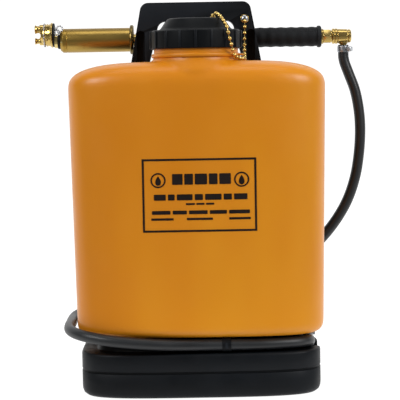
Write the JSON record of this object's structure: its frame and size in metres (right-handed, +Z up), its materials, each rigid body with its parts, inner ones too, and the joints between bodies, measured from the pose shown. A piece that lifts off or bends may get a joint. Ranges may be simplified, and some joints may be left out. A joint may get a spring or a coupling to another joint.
{
  "type": "portable fire pump",
  "caption": "Backpack fire pump: orange moulded water tank on a black base, back frame with carrying handle, brass slide pump and rubber hose.",
  "frame": {"origin": "centre of the base's underside, on the surface it stands on", "axes": "+Z up, -Y towards the front of the tank, +X towards the pump's hose end"},
  "size_m": [0.4834, 0.2531, 0.546],
  "materials": {
    "orange_hdpe": "blow-moulded, semi-gloss",
    "black_hdpe": "moulded, satin",
    "strainer_plastic": "moulded",
    "label_vinyl": "printed film",
    "polished_brass": "turned and polished",
    "aged_brass": "drawn, dulled",
    "zinc_steel": "zinc plated",
    "black_rubber": "moulded",
    "packing": "pressed",
    "cup_leather": "pressed",
    "webbing": "woven"
  },
  "bodies": {
    "root": {"tank_shell": "orange_hdpe", "fill_strainer": "strainer_plastic", "label_plate": "label_vinyl", "back_frame": "black_hdpe", "base_box": "black_hdpe", "frame_bolts": "zinc_steel", "pump_hook_left": "zinc_steel", "pump_hook_right": "zinc_steel", "hook_rivets": "zinc_steel", "outlet_elbow": "aged_brass", "outlet_gasket": "black_rubber", "outlet_locknut": "aged_brass", "outlet_strainer": "aged_brass", "lower_clamp_band": "zinc_steel", "lower_clamp_screw": "zinc_steel", "hose_clip": "black_hdpe", "hose": "black_rubber", "chain_screw": "zinc_steel", "cap_chain": "aged_brass", "strap_left": "webbing", "strap_right": "webbing", "shoulder_pad_left": "webbing", "shoulder_pad_right": "webbing", "strap_buckles": "black_hdpe"},
    "cap_seal": {"cap_gasket": "black_rubber"},
    "cap": {"cap_shell": "black_hdpe", "chain_rivet": "aged_brass"},
    "pump_rear": {"pump_cylinder": "aged_brass", "rubber_grip": "black_rubber", "gland_nut": "aged_brass", "gland_packing": "packing", "rear_nut": "polished_brass", "rear_collar": "polished_brass", "inlet_elbow": "polished_brass", "hose_cuff": "black_rubber", "inlet_cage": "aged_brass", "upper_clamp_band": "zinc_steel", "upper_clamp_screw": "zinc_steel"},
    "inlet_valve": {"inlet_ball": "zinc_steel"},
    "pump_front": {"plunger_tube": "aged_brass", "piston": "aged_brass", "piston_cups": "cup_leather", "front_sleeve": "aged_brass", "hand_flange": "polished_brass", "sleeve_plug": "aged_brass", "sleeve_washer": "black_rubber", "discharge_cage": "aged_brass", "nozzle_ring": "polished_brass"},
    "discharge_valve": {"discharge_ball": "zinc_steel"},
    "nozzle": {"nozzle_washer": "black_rubber", "nozzle_head": "aged_brass", "stream_tip": "polished_brass", "spray_tip": "polished_brass", "nozzle_pivot": "polished_brass", "nozzle_chain": "zinc_steel"}
  },
  "joints": [
    {"name": "pump_lift", "type": "slide", "parent": "root", "child": "pump_rear", "axis": [0, 0, 1], "range_m": [0, 0.045], "deforming": ["hose"]},
    {"name": "pump_stroke", "type": "slide", "parent": "pump_rear", "child": "pump_front", "axis": [-1, 0, 0], "range_m": [0, 0.234]},
    {"name": "nozzle_swivel", "type": "hinge", "parent": "pump_front", "child": "nozzle", "pos_m": [-0.2097, 0.126, 0.5035], "axis": [1, 0, 0], "range_deg": [0, 180]},
    {"name": "cap_turn", "type": "hinge", "parent": "cap_seal", "child": "cap", "pos_m": [0, -0.015, 0.5], "axis": [0, 0, 1], "range_deg": [0, 720]},
    {"name": "cap_rise", "type": "slide", "parent": "root", "child": "cap_seal", "axis": [0, 0, 1], "range_m": [0, 0.012], "deforming": ["cap_chain"]},
    {"name": "inlet_valve_lift", "type": "slide", "parent": "pump_rear", "child": "inlet_valve", "axis": [-1, 0, 0], "range_m": [0, 0.0029]},
    {"name": "discharge_valve_lift", "type": "slide", "parent": "pump_front", "child": "discharge_valve", "axis": [-1, 0, 0], "range_m": [0, 0.0029]}
  ],
  "couplings": [
    {"joint": "cap_rise", "follows": "cap_turn", "m_per_rad": 0.000954}
  ]
}
